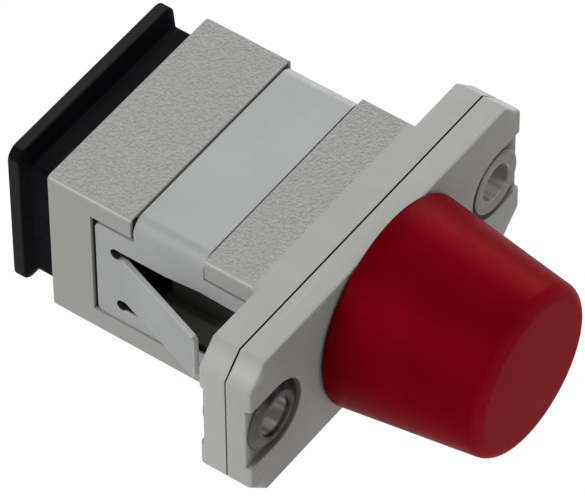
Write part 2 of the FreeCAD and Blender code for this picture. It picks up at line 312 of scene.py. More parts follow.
def spread(tree, first, second):
    # distance from the middle in the plane of two coordinates
    squares = [sums(tree, "MULTIPLY", side, side) for side in (first, second)]
    return sums(tree, "SQRT", sums(tree, "ADD", *squares))


def blendTones(tree, share, under, over):
    node = addNode(tree, "ShaderNodeMix", {0: share}, data_type="RGBA")
    for socket, tone in ((node.inputs[6], under), (node.inputs[7], over)):
        if isinstance(tone, bpy.types.NodeSocket):
            tree.links.new(tone, socket)
        else:
            socket.default_value = (*tone, 1)
    return node.outputs[2]


def onPiece(tree):
    # Object coordinates, whole and as x, y, z
    coords = addNode(tree, "ShaderNodeTexCoord").outputs["Object"]
    split = addNode(tree, "ShaderNodeSeparateXYZ", {0: coords})
    return coords, split.outputs[0], split.outputs[1], split.outputs[2]


def stretched(tree, coords, scale):
    return addNode(tree, "ShaderNodeMapping", {"Vector": coords, "Scale": scale}).outputs[0]


def newGroup(name, inputs, outputs):
    tree = bpy.data.node_groups.new(name, "ShaderNodeTree")
    for label, kind in inputs.items():
        tree.interface.new_socket(label, in_out="INPUT", socket_type=kind)
    for label in outputs:
        tree.interface.new_socket(label, in_out="OUTPUT", socket_type="NodeSocketFloat")
    return tree, addNode(tree, "NodeGroupInput"), addNode(tree, "NodeGroupOutput")


def useGroup(tree, group, inputs):
    return addNode(tree, "ShaderNodeGroup", inputs, node_tree=group).outputs


def raised(tree, height, depth, under=None, strength=1.0):
    inputs = {"Strength": strength, "Distance": depth, "Height": height}
    if under:
        inputs["Normal"] = under.outputs[0]
    return addNode(tree, "ShaderNodeBump", inputs)


noiseSpan = (0.3, 0.7)   # most of a noise's values lie in here
shaderSettings = {"gloss": "Specular IOR Level", "tint": "Specular Tint", "metal": "Metallic", "bend": "IOR"}


def dress(tree, shader, finish, tone, noise, skin=None, span=(0.0, 1.0)):
    # tone, a roughness that follows a noise, relief, and the finish's constants
    rough = fade(tree, noise, *span, *finish["rough"])
    joinUp(tree, (tone, shader.inputs["Base Color"]), (rough, shader.inputs["Roughness"]))
    if skin:
        joinUp(tree, (skin.outputs[0], shader.inputs["Normal"]))
    for key, socket in shaderSettings.items():
        if key in finish:
            shader.inputs[socket].default_value = finish[key]


grainShape = {"wander": 0.5, "pebble": 0.8, "smoothness": 0.8, "valleys": (-0.3, 0.08, 1.0, 0.0)}


def makeSparkGrain():
    # pebbled face of a spark-eroded mould: low rounded bumps with narrow valleys
    tree, given, result = newGroup("sparkGrain", {"Vector": "NodeSocketVector", "Bumps": "NodeSocketFloat"},
                                   ("Height", "Valleys"))
    coords, bumps = given.outputs[:2]
    wander = addNode(tree, "ShaderNodeTexNoise", {"Vector": coords, "Scale": bumps, "Detail": 2.0,
                                                  "Roughness": 0.55})
    pebbles = addNode(tree, "ShaderNodeTexVoronoi", {
        "Vector": coords, "Scale": bumps, "Smoothness": grainShape["smoothness"]}, feature="SMOOTH_F1")
    heap = sums(tree, "SUBTRACT", sums(tree, "MULTIPLY", wander.outputs[0], grainShape["wander"]),
                sums(tree, "MULTIPLY", pebbles.outputs["Distance"], grainShape["pebble"]))
    joinUp(tree, (heap, result.inputs["Height"]),
           (fade(tree, heap, *grainShape["valleys"]), result.inputs["Valleys"]))
    return tree


mottleShape = {"finer": 9.0, "fineSpan": (0.25, 0.75)}


def makeSoftMottle():
    # slow change of tone over a moulded or rolled face
    tree, given, result = newGroup("softMottle", {"Vector": "NodeSocketVector", "Spots": "NodeSocketFloat"},
                                   ("Tone", "Fine"))
    coords, spots = given.outputs[:2]
    slow = addNode(tree, "ShaderNodeTexNoise", {"Vector": coords, "Scale": spots, "Detail": 3.0,
                                                "Roughness": 0.5})
    fine = addNode(tree, "ShaderNodeTexNoise", {
        "Vector": coords, "Scale": sums(tree, "MULTIPLY", spots, mottleShape["finer"]), "Detail": 2.0,
        "Roughness": 0.6})
    joinUp(tree, (fade(tree, slow.outputs[0], *noiseSpan), result.inputs["Tone"]),
           (fade(tree, fine.outputs[0], *mottleShape["fineSpan"]), result.inputs["Fine"]))
    return tree


def makeFineStreaks():
    # drawn or turned lines: the vector comes in already stretched along them
    tree, given, result = newGroup("fineStreaks", {"Vector": "NodeSocketVector"}, ("Lines",))
    lines = addNode(tree, "ShaderNodeTexNoise", {"Vector": given.outputs[0], "Scale": 1.0, "Detail": 4.0,
                                                 "Roughness": 0.7})
    joinUp(tree, (lines.outputs[0], result.inputs["Lines"]))
    return tree


def makeEdgeRubAndHighlight():
    # masks along the long edges, and all round the sides, of a box that lies about the optical axis
    tree, given, result = newGroup("edgeRubAndHighlight", {"Vector": "NodeSocketVector", "HalfX": "NodeSocketFloat",
                                               "HalfZ": "NodeSocketFloat", "Width": "NodeSocketFloat"},
                                   ("LongEdges", "Rim"))
    coords, halfX, halfZ, width = given.outputs[:4]
    split = addNode(tree, "ShaderNodeSeparateXYZ", {0: coords})
    nearX = fade(tree, sums(tree, "ABSOLUTE", split.outputs[0]), sums(tree, "SUBTRACT", halfX, width), halfX)
    nearZ = fade(tree, sums(tree, "ABSOLUTE", split.outputs[2]), sums(tree, "SUBTRACT", halfZ, width), halfZ)
    joinUp(tree, (sums(tree, "MULTIPLY", nearX, nearZ), result.inputs["LongEdges"]),
           (sums(tree, "MAXIMUM", nearX, nearZ), result.inputs["Rim"]))
    return tree


sparkGrain = makeSparkGrain()
softMottle = makeSoftMottle()
fineStreaks = makeFineStreaks()
edgeRubAndHighlight = makeEdgeRubAndHighlight()


def useMottle(tree, coords, finish):
    return useGroup(tree, softMottle, {"Vector": coords, "Spots": finish["mottleSpots"]})


def useRubAndHighlight(tree, coords, finish):
    return useGroup(tree, edgeRubAndHighlight, {"Vector": coords, "HalfX": finish["halfX"], "HalfZ": finish["halfZ"],
                                    "Width": finish["edgeWidth"]})


greyFinish = {
    "tone": (0.385, 0.389, 0.366), "shade": (0.371, 0.375, 0.352), "valley": (0.340, 0.343, 0.322),
    "side": (0.325, 0.328, 0.307), "front": (0.310, 0.312, 0.296), "rearEnd": (0.42, 0.424, 0.40),
    "edge": (0.50, 0.505, 0.484), "wornEdgeAndHighlight": (0.54, 0.545, 0.522), "hollow": (0.03, 0.029, 0.026),
    "inside": (0.30, 0.294, 0.262), "pocket": (0.15, 0.143, 0.135), "rough": (0.5, 0.62), "gloss": 0.35,
    "grainBumps": 7000, "grainDepth": 0.00013, "mottleSpots": 900, "smoothDepth": 0.000004,
    "drawnScale": (300, 9000, 9000), "halfX": 0.00643, "halfZ": 0.00458, "edgeWidth": 0.0002,
}
greyZones = {
    "body": (0.0001, 0.0003), "bodyEnd": (0.0097, 0.0099, 1.0, 0.0),
    "grainUp": (0.00452, 0.00456), "grainAcross": (0.0062, 0.0063, 1.0, 0.0),
    "sideAcross": (0.0063, 0.0064), "sideUp": (0.0043, 0.0045, 1.0, 0.0), "wornAndLit": (0.3, 0.48),
    "rim": (-0.0016, -0.0018), "drawn": (0.55, 0.75, 0.0, 0.35),
    "endAcross": (0.0098, 0.0104), "cornerUp": (0.0033, 0.0039), "cornerRubAndHighlight": (-0.0014, -0.0018, 0.3, 0.85),
    "front": (-0.00298, -0.00304), "frontShadeAcross": (0.0052, 0.0085), "frontShadeLeft": (-0.004, 0.004, 1.0, 0.45),
    "rearHalf": (-0.0008, 0.0007, 0.0008), "seam": (-0.0016, 0.00004, 0.00006),
    "seamAcross": (0.0104, 0.0108, 1.0, 0.25),
    "seatIn": (0.0001, 0.00026), "seatDown": (0.00006, 0.00014), "windowIn": (0.0005, 0.0007),
    "pocketAcross": (0.0068, 0.007), "pocketFloor": (-0.00265, -0.0027), "pocketMouth": (-0.00301, -0.00296),
    "pocketUp": (0.00208, 0.00202), "pocketEnd": (0.0104, 0.0109, 1.0, 0.3),
}   # where a mask starts and ends, then its two values if not 0 and 1; rearHalf and seam start with a middle


def makeGreyPlastic():
    finish = greyFinish
    material, tree, shader = newMaterial("greyPlastic")
    coords, x, y, z = onPiece(tree)
    across, height = sums(tree, "ABSOLUTE", x), sums(tree, "ABSOLUTE", z)

    def zone(name, value):
        return fade(tree, value, *greyZones[name])

    grain = useGroup(tree, sparkGrain, {"Vector": coords, "Bumps": finish["grainBumps"]})
    mottle = useMottle(tree, coords, finish)
    lines = useGroup(tree, fineStreaks, {"Vector": stretched(tree, coords, finish["drawnScale"])})
    rubAndHighlight = useRubAndHighlight(tree, coords, finish)
    onBody = zone("body", y)
    wide = allOf(tree, zone("grainUp", height), onBody, zone("grainAcross", across))   # only these have grain
    side = allOf(tree, zone("sideAcross", across), zone("sideUp", height), onBody)
    tone = blendTones(tree, mottle["Tone"], finish["shade"], finish["tone"])
    tone = blendTones(tree, side, tone, finish["side"])
    tone = blendTones(tree, allOf(tree, wide, grain["Valleys"]), tone, finish["valley"])
    front = allOf(tree, zone("front", y), zone("frontShadeAcross", across), zone("frontShadeLeft", x))
    tone = blendTones(tree, front, tone, finish["front"])   # painted shade: the flange's front face darker towards its ends, more on the left
    atEnd = zone("endAcross", across)
    rearEnd = allOf(tree, atEnd, nearTo(tree, y, *greyZones["rearHalf"]))
    tone = blendTones(tree, rearEnd, tone, finish["rearEnd"])
    drawn = allOf(tree, zone("rim", y), zone("drawn", lines["Lines"]))   # lines on the flange's front half
    rubbedAndLitCorners = allOf(tree, atEnd, zone("cornerUp", height), zone("cornerRubAndHighlight", y))   # lighter corners: a painted highlight, with some rub from hands
    tone = blendTones(tree, sums(tree, "MAXIMUM", drawn, rubbedAndLitCorners), tone, finish["edge"])
    # wear and a painted highlight: a light line along the body's long edges
    tone = blendTones(tree, allOf(tree, zone("wornAndLit", rubAndHighlight["LongEdges"]), onBody), tone, finish["wornEdgeAndHighlight"])
    inwards = sums(tree, "SUBTRACT", finish["halfX"], across)
    down = sums(tree, "SUBTRACT", finish["halfZ"], height)
    hollow = allOf(tree, zone("seatIn", inwards), zone("seatDown", down), onBody, zone("bodyEnd", y))
    recessShade = blendTones(tree, zone("windowIn", inwards), finish["hollow"], finish["inside"])
    tone = blendTones(tree, hollow, tone, recessShade)   # painted shade: dark in the clip's seat, the window and the port
    seamShade = allOf(tree, nearTo(tree, y, *greyZones["seam"]), zone("seamAcross", across))
    tone = blendTones(tree, seamShade, tone, finish["hollow"])   # painted shade in the seam, less dark on the ends, where it is tighter
    pocketGrimeAndShade = allOf(tree, zone("pocketAcross", across), zone("pocketFloor", y), zone("pocketMouth", y),
                     zone("pocketUp", height), zone("pocketEnd", across))
    tone = blendTones(tree, pocketGrimeAndShade, tone, finish["pocket"])   # grime and painted shade round the rivets
    coarse = raised(tree, allOf(tree, grain["Height"], wide), finish["grainDepth"])
    fine = raised(tree, mottle["Fine"], finish["smoothDepth"], coarse)
    dress(tree, shader, finish, tone, mottle["Fine"], fine)
    return material


clipFinish = {
    "tone": (0.400, 0.407, 0.407), "dull": (0.375, 0.382, 0.382), "cut": (0.62, 0.63, 0.63),
    "shadow": (0.03, 0.03, 0.03), "rough": (0.58, 0.68), "metal": 0.35, "mottleSpots": 300,
    "lineScale": (400, 14000, 400), "lineDepth": 0.000001,
    "tabTop": (0.00123, 0.0, 0.00005), "slitFoot": (-0.00227, 0.0, 0.00005), "arm": (0.0081, 0.0079),
    "tabEnd": (0.00232, 0.00222), "tabAcross": (0.0067, 0.0069), "sheetIn": (0.00622, 0.00626, 1.0, 0.0),
    "slitEnds": ((0.00825, 0.00153), (0.00798, -0.00197)), "slitRound": (0.00031, 0.00034, 1.0, 0.0),
}


def makeClipSteel():
    finish = clipFinish
    material, tree, shader = newMaterial("clipSteel")
    coords, x, y, z = onPiece(tree)
    across = sums(tree, "ABSOLUTE", x)
    lines = useGroup(tree, fineStreaks, {"Vector": stretched(tree, coords, finish["lineScale"])})
    mottle = useMottle(tree, coords, finish)
    tone = blendTones(tree, mottle["Tone"], finish["dull"], finish["tone"])
    onArm = fade(tree, y, *finish["arm"])
    atTabTop = allOf(tree, nearTo(tree, z, *finish["tabTop"]), onArm)
    atSlit = allOf(tree, nearTo(tree, z, *finish["slitFoot"]), onArm)
    atTabEnd = allOf(tree, fade(tree, y, *finish["tabEnd"]), fade(tree, across, *finish["tabAcross"]))
    cut = sums(tree, "MAXIMUM", sums(tree, "MAXIMUM", atTabTop, atSlit), atTabEnd)
    tone = blendTones(tree, cut, tone, finish["cut"])   # painted highlight along the sheet's cut edges
    deepSlit = allOf(tree, atSlit, fade(tree, across, *finish["sheetIn"]))
    tone = blendTones(tree, deepSlit, tone, finish["shadow"])
    for endY, endZ in finish["slitEnds"]:   # dark in the slits' round ends
        reach = spread(tree, sums(tree, "SUBTRACT", y, endY), sums(tree, "SUBTRACT", z, endZ))
        tone = blendTones(tree, fade(tree, reach, *finish["slitRound"]), tone, finish["shadow"])
    rolled = raised(tree, lines["Lines"], finish["lineDepth"])
    dress(tree, shader, finish, tone, lines["Lines"], rolled, noiseSpan)
    return material


eyeletFinish = {
    "tone": (0.27, 0.268, 0.258), "dull": (0.235, 0.232, 0.223), "rolled": (0.026, 0.023, 0.022),
    "bore": (0.85, 0.84, 0.81), "boreDark": (0.40, 0.39, 0.375), "rough": (0.42, 0.58), "metal": 0.7,
    "gloss": 0.2, "ringScale": 22000, "ringDepth": 0.000004, "ringStrength": 0.6, "mottleSpots": 1500,
    "streakScale": (1900, 250, 1900), "streakSpan": (0.35, 0.65), "middle": -0.001525,
    "inBore": (0.00104, 0.00112, 1.0, 0.0), "boreEnd": (0.0012, 0.0014, 1.0, 0.0),
    "rolledEnd": (0.0009, 0.0012), "rolledOut": (0.0003, 0.0011, 1.0, 0.7), "rolledMottle": (0.8, 1.0),
}


def makeEyeletMetal():
    finish = eyeletFinish
    material, tree, shader = newMaterial("eyeletMetal")
    coords, x, y, z = onPiece(tree)
    aside = sums(tree, "SUBTRACT", sums(tree, "ABSOLUTE", x), flange["holeSpacing"] / 2 * mm)
    reach = spread(tree, aside, z)   # from the middle of the eyelet's own hole
    rings = addNode(tree, "ShaderNodeTexNoise", {"W": sums(tree, "MULTIPLY", reach, finish["ringScale"]),
                                                 "Scale": 1.0, "Detail": 2.0}, noise_dimensions="1D")
    mottle = useMottle(tree, coords, finish)
    worked = sums(tree, "MULTIPLY", sums(tree, "SIGN", x), sums(tree, "SUBTRACT", y, finish["middle"]))
    rolled = allOf(tree, fade(tree, worked, *finish["rolledEnd"]), fade(tree, aside, *finish["rolledOut"]),
                   fade(tree, mottle["Tone"], 0.0, 1.0, *finish["rolledMottle"]))
    tone = blendTones(tree, mottle["Tone"], finish["dull"], finish["tone"])
    tone = blendTones(tree, rolled, tone, finish["rolled"])   # the worked ends are darker
    streaks = addNode(tree, "ShaderNodeTexNoise", {"Vector": stretched(tree, coords, finish["streakScale"]),
                                                   "Scale": 1.0, "Detail": 1.0})
    # painted light: the bore's wall gets a far lighter tone than the eyelet's metal, for light that reaches
    # into the hole
    paintedBoreLight = blendTones(tree, fade(tree, streaks.outputs[0], *finish["streakSpan"]),
                      finish["boreDark"], finish["bore"])
    inBore = allOf(tree, fade(tree, reach, *finish["inBore"]), fade(tree, worked, *finish["boreEnd"]))
    tone = blendTones(tree, inBore, tone, paintedBoreLight)
    turned = raised(tree, rings.outputs[0], finish["ringDepth"], strength=finish["ringStrength"])
    dress(tree, shader, finish, tone, mottle["Fine"], turned)
    return material


capFinish = {
    "tone": (0.0054, 0.0055, 0.0066), "dark": (0.0034, 0.0035, 0.0044), "edge": (0.0185, 0.0192, 0.0190),
    "rough": (0.52, 0.66), "gloss": 0.03, "grainBumps": 5200, "grainDepth": 0.000006, "mottleSpots": 350,
    "halfX": 0.0062, "halfZ": 0.00455, "edgeWidth": 0.00007,
}
insertFinish = {
    "tone": (0.05, 0.0495, 0.0445), "dark": (0.04, 0.0395, 0.0355), "edge": (0.05, 0.0495, 0.045),
    "rough": (0.45, 0.6), "gloss": 0.3, "grainBumps": 4200, "grainDepth": 0.000005, "mottleSpots": 400,
    "halfX": 0.005225, "halfZ": 0.003925, "edgeWidth": 0.0002,
}


def makeDarkPlastic(name, finish):
    # black mouldings: fine grain, dull, a little greyer along the grip plate's edges, from rubbing and a
    # painted highlight
    material, tree, shader = newMaterial(name)
    coords = onPiece(tree)[0]
    grain = useGroup(tree, sparkGrain, {"Vector": coords, "Bumps": finish["grainBumps"]})
    mottle = useMottle(tree, coords, finish)
    tone = blendTones(tree, mottle["Tone"], finish["dark"], finish["tone"])
    # rub and a painted highlight along the grip plate's edges
    tone = blendTones(tree, useRubAndHighlight(tree, coords, finish)["Rim"], tone, finish["edge"])
    dress(tree, shader, finish, tone, mottle["Fine"], raised(tree, grain["Height"], finish["grainDepth"]))
    return material


vinylFinish = {
    "tone": (0.180, 0.0003, 0.0060), "deep": (0.160, 0.0002, 0.0048), "dust": (0.290, 0.0065, 0.0145),
    "footShade": (0.085, 0.0002, 0.0026), "rough": (0.34, 0.42),
    "gloss": 0.013, "tint": (1, 0.3, 0.35, 1), "metal": 0.09,   # its highlights stay red
    "tip": (-0.0107, -0.01133, 0.0, 0.9), "tipMottle": (0.75, 1.0), "shadeByFlange": (-0.0046, -0.0031, 0.0, 0.5),
    "mottleSpots": 260, "skinBumps": 3000, "skinDepth": 0.000004,
}


def makeRedVinyl():
    finish = vinylFinish
    material, tree, shader = newMaterial("redVinyl")
    coords, _, y, _ = onPiece(tree)
    mottle = useMottle(tree, coords, finish)
    skin = useGroup(tree, sparkGrain, {"Vector": coords, "Bumps": finish["skinBumps"]})
    tone = blendTones(tree, mottle["Tone"], finish["deep"], finish["tone"])
    dust = allOf(tree, fade(tree, y, *finish["tip"]),
                 fade(tree, mottle["Fine"], 0.0, 1.0, *finish["tipMottle"]))
    tone = blendTones(tree, dust, tone, finish["dust"])   # painted light and sheen: the end face is made lighter and greyer for the light and haze it catches, with some dust
    tone = blendTones(tree, fade(tree, y, *finish["shadeByFlange"]), tone, finish["footShade"])   # painted shade, darker by the flange
    dress(tree, shader, finish, tone, mottle["Fine"], raised(tree, skin["Height"], finish["skinDepth"]))
    return material


nickelFinish = {
    "tone": (0.62, 0.60, 0.55), "dull": (0.52, 0.49, 0.44), "rough": (0.2, 0.34), "metal": 1.0,
    "turnScale": (200, 24000, 200), "turnDepth": 0.000002, "mottleSpots": 500,
}


def makeNickelPlate():
    finish = nickelFinish
    material, tree, shader = newMaterial("nickelPlate")
    coords = onPiece(tree)[0]
    mottle = useMottle(tree, coords, finish)
    turned = useGroup(tree, fineStreaks, {"Vector": stretched(tree, coords, finish["turnScale"])})
    tone = blendTones(tree, mottle["Tone"], finish["dull"], finish["tone"])
    marks = raised(tree, turned["Lines"], finish["turnDepth"])   # tool marks round the axis
    dress(tree, shader, finish, tone, turned["Lines"], marks, noiseSpan)
    return material


ceramicFinish = {
    "tone": (0.83, 0.82, 0.78), "warm": (0.77, 0.75, 0.69), "rough": (0.12, 0.22), "bend": 2.1,
    "mottleSpots": 600,
}


def makeZirconia():
    finish = ceramicFinish
    material, tree, shader = newMaterial("zirconia")
    mottle = useMottle(tree, onPiece(tree)[0], finish)
    tone = blendTones(tree, mottle["Tone"], finish["warm"], finish["tone"])
    dress(tree, shader, finish, tone, mottle["Fine"])
    return material


flange = {
    "corner": 1.22, "holeSpacing": 18, "holeRadius": 1.28, "pocketRadius": 2.02, "pocketDepth": 0.3,
    "seam": 0.065, "seamDepth": 0.45,
}   # shared by the two halves and the eyelets

greyPlastic = makeGreyPlastic()
clipSteel = makeClipSteel()
eyeletMetal = makeEyeletMetal()
blackPlastic = makeDarkPlastic("blackPlastic", capFinish)
blackInsert = makeDarkPlastic("blackInsert", insertFinish)
redVinyl = makeRedVinyl()
nickelPlate = makeNickelPlate()
zirconia = makeZirconia()
print("finishes ready")


# rear housing: square-side body and rear half of the flange, one moulding

housing = {
    "bodyHalfWidth": 6.43, "bodyEdgeRound": 0.25, "bodyEndRound": 0.15,
    "rearRound": 0.28, "portHalfWidth": 4.525, "portHalfHeight": 3.725, "mouthBevel": 0.2,
    "seatHalfWidth": 5.275, "seatHalfHeight": 3.975, "seatEnd": -0.4,
    "keywayWidth": 2.3, "keywayStart": 7.2,
    "grooveStart": 2.95, "grooveEnd": 7.25, "grooveHalfWidth": 6.02, "grooveFloor": 4.17, "grooveRound": 0.47,
    "recessEnd": 9.65, "recessBottom": -3.17, "recessTop": 3.38,
    "windowStart": 0.7, "windowEnd": 8.85, "windowBottom": -2.42, "windowTop": 2.23, "windowRound": 0.4,
    "softEdge": 0.03,
}


def stepRim(piece, way):
    # shallow step round the rim of the face that meets the other half: the seam between them
    pickFaces(piece, lambda face: face.normal.y * way > facing)
    bpy.ops.mesh.inset(thickness=flange["seamDepth"])
    bpy.ops.mesh.extrude_region_move(TRANSFORM_OT_translate={"value": (0, way * flange["seam"] / 2, 0)})
    closeUp()


def cutPockets(piece, y0, y1, endX):
    for side in (1, -1):
        holeX = side * flange["holeSpacing"] / 2
        radius = flange["pocketRadius"]
        cutAway(piece, addRod("pocket", radius, y0, y1, holeX))
        nearX, farX = sorted((holeX, side * endX))
        cutAway(piece, addBlock("pocketMouth", (nearX, y0, -radius), (farX, y1, radius)))


def cutHoles(piece, y0, y1):
    for side in (1, -1):
        hole = addRod("hole", flange["holeRadius"], y0, y1, side * flange["holeSpacing"] / 2, steps=64)
        cutAway(piece, hole)


def makeRearHousing():
    low, high = cadCorners("rear_housing")
    size = housing
    piece = addBlock("rearHousing", (low.x, low.y + flange["seam"] / 2, low.z), (high.x, 0, high.z))
    bevelEdges(piece, alongAxis(yAxis), flange["corner"], steps=1)
    stepRim(piece, way=-1)
    bevelEdges(piece, onPlane(yAxis, 0), size["rearRound"], steps=4)
    body = addBlock("body", (-size["bodyHalfWidth"], low.y / 2, low.z),
                    (size["bodyHalfWidth"], high.y, high.z))
    bevelEdges(body, alongAxis(yAxis), size["bodyEdgeRound"], steps=4)
    bevelEdges(body, onPlane(yAxis, high.y), size["bodyEndRound"], steps=3)
    combine(piece, body, "UNION")
    halfW, halfH = size["portHalfWidth"], size["portHalfHeight"]
    cutAway(piece, addBar("port", halfW, halfH, low.y - past, high.y + past))
    mouthEdge = onPlane(yAxis, high.y)
    bevelEdges(piece, lambda a, b: mouthEdge(a, b) and max(abs(a.x), abs(b.x)) < halfW + near
               and max(abs(a.z), abs(b.z)) < halfH + near, size["mouthBevel"], steps=1)
    seat = addBar("seat", size["seatHalfWidth"], size["seatHalfHeight"], low.y - past, size["seatEnd"])
    cutAway(piece, seat)
    keyway = addBlock("keyway", (-size["keywayWidth"] / 2, size["keywayStart"], low.z - past),
                      (size["keywayWidth"] / 2, high.y + past, 0))
    cutAway(piece, keyway)
    wide = size["bodyHalfWidth"] + past
    groove = addBlock("groove", (-wide, size["grooveStart"], size["recessTop"]),
                      (wide, size["grooveEnd"], high.z + past))
    core = addBlock("core", (-size["grooveHalfWidth"], size["grooveStart"] - past, 0),
                    (size["grooveHalfWidth"], size["grooveEnd"] + past, size["grooveFloor"]))
    floorEdge = onPlane(zAxis, size["grooveFloor"])
    bevelEdges(core, lambda a, b: floorEdge(a, b) and alongAxis(yAxis)(a, b), size["grooveRound"], steps=5)
    cutAway(groove, core)
    cutAway(piece, groove)
    for side in (1, -1):
        nearX, farX = sorted((side * size["grooveHalfWidth"], side * wide))
        recess = addBlock("recess", (nearX, 0, size["recessBottom"]),
                          (farX, size["recessEnd"], size["recessTop"]))
        cutAway(piece, recess)
    window = addBlock("window", (-wide, size["windowStart"], size["windowBottom"]),
                      (wide, size["windowEnd"], size["windowTop"]))
    bevelEdges(window, alongAxis(xAxis), size["windowRound"], steps=4)
    cutAway(piece, window)
    cutPockets(piece, -flange["pocketDepth"], past, high.x + past)
    cutHoles(piece, low.y - past, past)
    dissolveFlat(piece)
    softenEdges(piece, size["softEdge"])
    finishPiece(piece, "rear_housing", "adapter", greyPlastic)


makeRearHousing()


# front half of the flange

frontFlange = {
    "frontBevel": 0.2, "bore": 4.03, "collarRadius": 5.23, "collarHalfHeight": 3.86, "collarDepth": 0.75,
    "softEdge": 0.03,
}


def makeFrontFlange():
    low, high = cadCorners("front_flange")
    size = frontFlange
    piece = addBlock("frontFlange", low, (high.x, high.y - flange["seam"] / 2, high.z))
    bevelEdges(piece, alongAxis(yAxis), flange["corner"], steps=1)
    stepRim(piece, way=1)
    bevelEdges(piece, onPlane(yAxis, low.y), size["frontBevel"], steps=2)
    seat = addRod("collarSeat", size["collarRadius"], high.y - size["collarDepth"], high.y + past)
    wide = size["collarRadius"] + past
    flats = addBar("flats", wide, size["collarHalfHeight"], low.y, high.y + 2 * past)
    combine(seat, flats, "INTERSECT")
    cutAway(piece, seat)
    cutAway(piece, addRod("bore", size["bore"], low.y - past, high.y + past, steps=128))
    cutPockets(piece, low.y - past, low.y + flange["pocketDepth"], high.x + past)
    cutHoles(piece, low.y - past, high.y + past)
    dissolveFlat(piece)
    softenEdges(piece, size["softEdge"])
    finishPiece(piece, "front_flange", "adapter", greyPlastic)


makeFrontFlange()


# eyelets that rivet the two halves together: a flat head and a rolled rim, the two facing opposite ways

eyelet = {
    "bore": 1.05, "outside": 1.25, "seat": 1.225, "middle": -1.525,
    "head": 1.75, "headThickness": 0.28, "headRound": 0.1, "headFoot": 0.04,
    "roll": 1.9, "rollEdge": 0.08, "rollHeight": 0.27, "rollRound": 0.12, "rollFoot": 0.02, "rollLip": 0.04,
    "crest": 1.4, "crestRound": 0.3,
}


def makeFlangeEyelets():
    size = eyelet
    headEnd = size["seat"] + size["headThickness"]
    rollEnd = size["seat"] + size["rollHeight"]
    profile = [
        (size["bore"], -headEnd, size["headRound"]), (size["head"], -headEnd, size["headRound"]),
        (size["head"], -size["seat"], size["headFoot"]), (size["outside"], -size["seat"], 0),
        (size["outside"], size["seat"], 0), (size["roll"], size["seat"], size["rollFoot"]),
        (size["roll"], size["seat"] + size["rollEdge"], size["rollLip"]),
        (size["crest"], rollEnd, size["crestRound"]), (size["bore"], rollEnd, size["rollRound"]),
    ]
    both = []
    for side in (1, -1):
        corners = [(radius, size["middle"] + side * y, soft) for radius, y, soft in profile]
        rivet = turnOnAxis("flangeEyelets", corners, steps=64, arcSteps=5)
        rivet.location.x = side * flange["holeSpacing"] / 2
        both.append(rivet)
    takeUp(both[0])
    both[1].select_set(True)
    applyMove()
    bpy.ops.object.join()
    finishPiece(both[0], "flange_eyelets", "adapter", eyeletMetal)


makeFlangeEyelets()


# panel clip: one sheet, cut flat, folded on one side, mirrored and given its thickness

clip = {
    "sheet": 0.3, "bend": 0.8, "inset": 0.08, "strapStart": 3.05, "strapEnd": 7.15,
    "armBottom": -3.12, "armTop": 3.08, "armCorner": 0.35, "slitEnd": 8.25, "lowSlitEnd": 7.98, "slit": 0.6,
    "stripRoot": 1.25, "stripWaist": 1.0, "stripFront": 1.1, "kneePlace": 5.35, "waistPlace": 3.35,
    "tabTop": 1.23, "tabBottom": -1.67, "tabFlat": 0.35, "tabBend": 1.0, "tabAngle": 19.4, "tabEnd": 2.15,
    "tabCorner": 0.3, "arcSteps": 6, "bendSteps": 10, "softEdge": 0.035,
}


def slitRound(y, z, radius, steps):
    centre = Vector((y, z))
    lowEnd, farEnd, highEnd = (centre + radius * Vector(way) for way in ((0, -1), (1, 0), (0, 1)))
    return arcAbout(centre, lowEnd, farEnd, steps) + arcAbout(centre, farEnd, highEnd, steps)[1:]


def armOutline(size, front, rear):
    # the flat arm as (y, z): root bar, upper and lower strip, the slits, and the tab's root between them
    top, bottom = size["armTop"], size["armBottom"]
    radius = size["slit"] / 2
    rootY = size["slitEnd"] - size["tabFlat"]
    corner = size["armCorner"]
    steps = size["arcSteps"]
    points = roundOff([(front, top, 0), (size["strapStart"], top, 0), (size["strapEnd"], top, 0),
                       (rear, top, corner), (rear, bottom, corner), (front, bottom, 0),
                       (front, size["tabBottom"] - size["slit"], 0)], steps)
    points += slitRound(size["lowSlitEnd"], size["tabBottom"] - radius, radius, steps)
    points += [Vector((rootY, size["tabBottom"])), Vector((rootY, size["tabTop"]))]
    points += slitRound(size["slitEnd"], size["tabTop"] + radius, radius, steps)
    points += [Vector((size["kneePlace"], top - size["stripRoot"])),
               Vector((size["waistPlace"], top - size["stripWaist"])),
               Vector((front, top - size["stripFront"]))]
    return points


def tabPath(size, armX):
    # along the tab's outer face, from its root to its free end by the flange
    turn = math.radians(size["tabAngle"])
    rootY = size["slitEnd"] - size["tabFlat"]
    centre = Vector((armX + size["tabBend"], rootY, 0))
    radius = size["tabBend"] - size["sheet"]
    angles = [turn * step / size["arcSteps"] for step in range(size["arcSteps"] + 1)]
    path = [centre - radius * Vector((math.cos(angle), math.sin(angle), 0)) for angle in angles]
    run = (rootY - size["tabBend"] * math.sin(turn) - size["tabEnd"]) / math.cos(turn)
    return path + [path[-1] + run * Vector((math.sin(turn), -math.cos(turn), 0))]


def strapPath(size, halfW, top):
    # up the side, round the bend and across to the middle
    bendX, bendZ = halfW - size["bend"], top - size["bend"]
    bend = arcAbout(Vector((bendX, 0, bendZ)), Vector((halfW, 0, bendZ)), Vector((bendX, 0, top)),
                    size["bendSteps"])
    return [Vector((halfW, 0, size["armTop"]))] + bend + [Vector((0, 0, top))]


